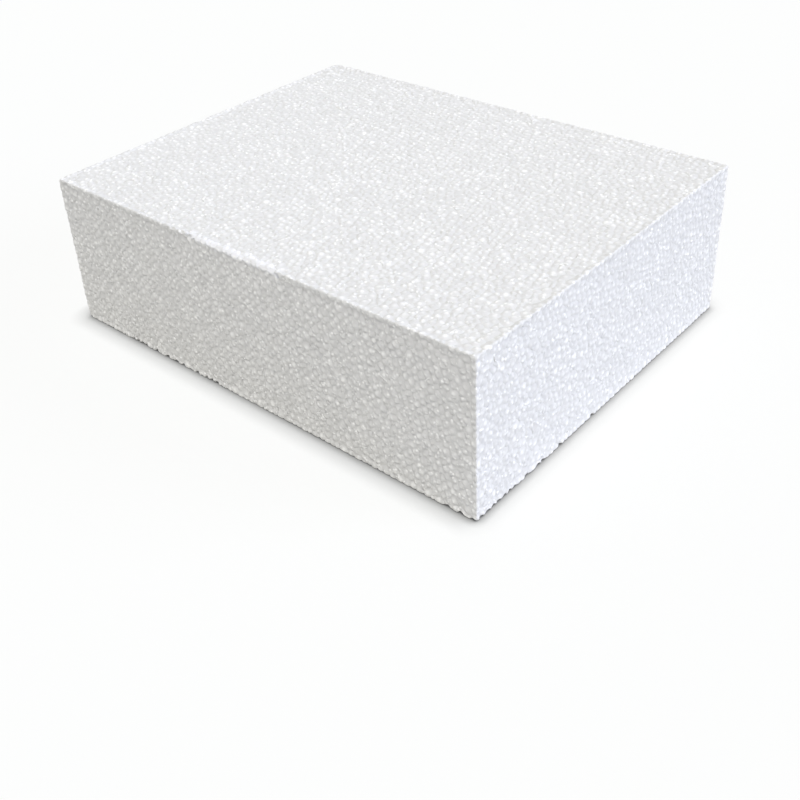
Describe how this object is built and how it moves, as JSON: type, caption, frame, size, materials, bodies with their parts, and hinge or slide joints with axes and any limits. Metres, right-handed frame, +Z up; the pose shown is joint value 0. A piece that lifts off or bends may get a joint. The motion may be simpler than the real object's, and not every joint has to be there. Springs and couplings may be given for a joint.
{
  "type": "foam block",
  "caption": "Rectangular block of white expanded polystyrene foam with bead-textured cut faces and crisp edges; rests flat on any face.",
  "frame": {"origin": "centre of the underside", "axes": "+X along the block's length, +Y across its width with the rubbed long side facing -Y, +Z up through its height"},
  "size_m": [0.256, 0.2, 0.08],
  "materials": {
    "expanded_foam": "cut face of fused white foam beads about 3.6 mm across, matt with small bright glints"
  },
  "bodies": {
    "root": {"foam_block": "expanded_foam"}
  },
  "joints": []
}
